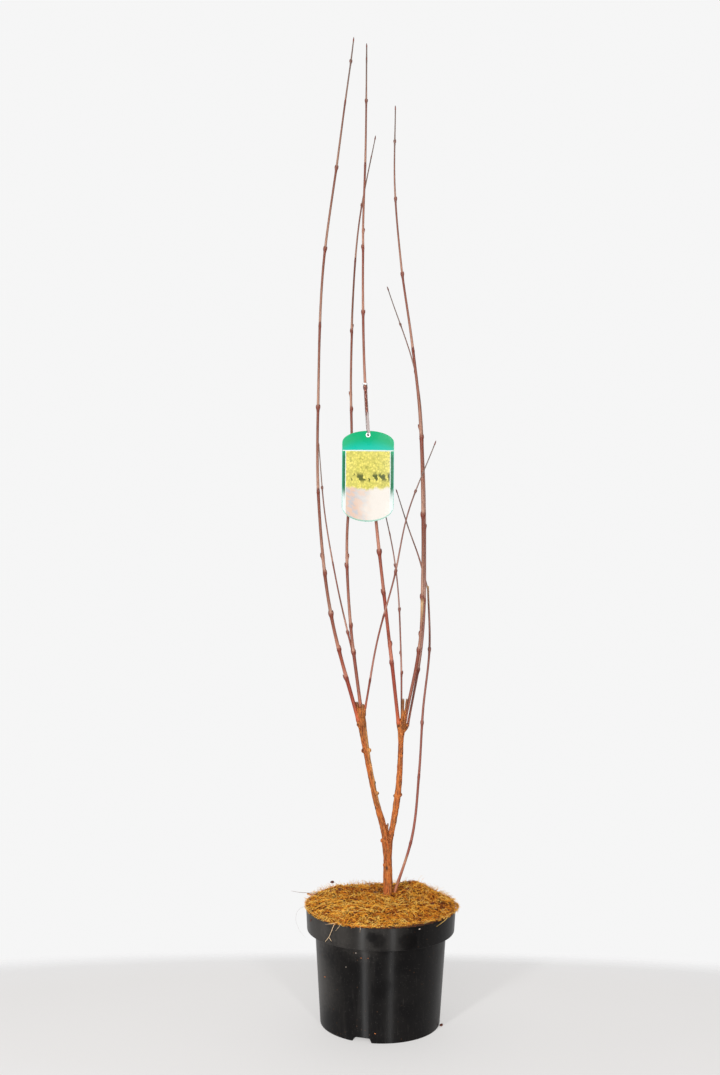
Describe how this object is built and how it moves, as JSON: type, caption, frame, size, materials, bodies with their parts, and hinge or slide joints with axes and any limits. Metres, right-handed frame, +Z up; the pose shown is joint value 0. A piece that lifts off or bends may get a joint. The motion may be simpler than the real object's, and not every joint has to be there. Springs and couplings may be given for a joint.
{
  "type": "potted katsura tree",
  "caption": "Young dormant katsura tree: a short forked trunk and long slender bare shoots rising from a mat of fibre mulch in a round plastic nursery pot, with a hanging plant label.",
  "frame": {"origin": "middle of the flat underside of the pot, on the surface that the pot stands on", "axes": "+Z up the tree, +X to the right and +Y to the back as the tree is seen from its front, where the label hangs"},
  "size_m": [0.2041, 0.184, 1.199],
  "materials": {
    "pot_plastic": "black satin moulded plastic, dusty and lightly scuffed",
    "potting_soil": "dark crumbly potting compost",
    "coir_fibre": "matted golden-brown coconut fibre with dark gaps",
    "bark": "thin orange-brown bark with darker streaks and tan patches",
    "shoot_bark": "smooth red-brown young bark with pale lenticels",
    "thin_shoot_bark": "smooth grey-brown young bark",
    "label_plastic": "glossy printed plastic card",
    "tie_plastic": "thin milky plastic loop"
  },
  "bodies": {
    "root": {"pot": "pot_plastic", "potting_soil": "potting_soil", "coir_mulch": "coir_fibre", "trunk": "bark", "left_bough": "bark", "right_bough": "bark", "left_outer_shoot": "shoot_bark", "left_tall_shoot": "shoot_bark", "crossing_shoot": "thin_shoot_bark", "centre_leader": "shoot_bark", "right_thin_shoot": "thin_shoot_bark", "right_leader": "shoot_bark", "right_twin_shoot": "thin_shoot_bark", "basal_shoot": "thin_shoot_bark", "label": "label_plastic", "label_tie": "tie_plastic"}
  },
  "joints": []
}
